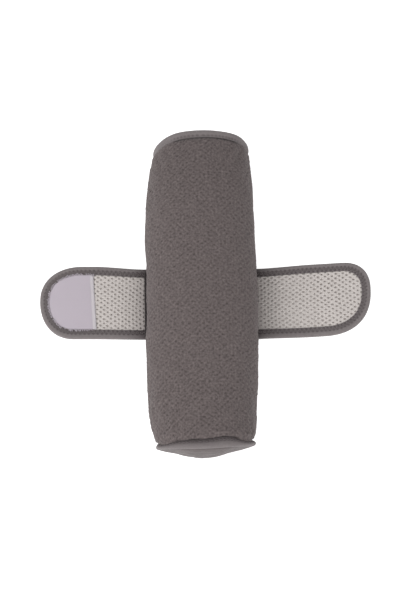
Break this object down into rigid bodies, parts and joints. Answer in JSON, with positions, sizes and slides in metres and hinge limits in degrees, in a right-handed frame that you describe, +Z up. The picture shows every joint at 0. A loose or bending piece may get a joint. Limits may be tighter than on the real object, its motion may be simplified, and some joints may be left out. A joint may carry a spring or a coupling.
{
  "type": "seat belt shoulder pad",
  "caption": "Stuffed bolster pad with bound ends and a mesh-faced hook-and-loop strap across its back that wraps round a seat belt.",
  "frame": {"origin": "on the surface the part lies on, under the middle of its overall box", "axes": "+Z up, out of the pad's front; +Y along the pad to its top end; +X across the pad, along the tab with the loop patch"},
  "size_m": [0.2882, 0.2908, 0.05],
  "materials": {
    "fibre_filling": "loose white polyester fibre, hidden inside the cover",
    "cover_mesh": "matte taupe air mesh with fine staggered dimples",
    "lining_knit": "matte taupe plain knit",
    "trim_knit": "smooth taupe knit, softly wrinkled",
    "trim_tape": "smooth taupe knit tape, folded and stitched",
    "strap_mesh": "matte beige open mesh with small staggered holes",
    "hook_tape": "pale lilac-grey hook tape with very fine hooks",
    "loop_tape": "brushed taupe loop tape"
  },
  "bodies": {
    "root": {"filling": "fibre_filling", "front_cover": "cover_mesh", "back_panel": "lining_knit", "top_end_panel": "trim_knit", "bottom_end_panel": "trim_knit", "top_end_binding": "trim_tape", "bottom_end_binding": "trim_tape", "strap_backing": "lining_knit", "strap_mesh": "strap_mesh", "strap_binding": "trim_tape", "hook_patch": "hook_tape", "loop_patch": "loop_tape"}
  },
  "joints": []
}
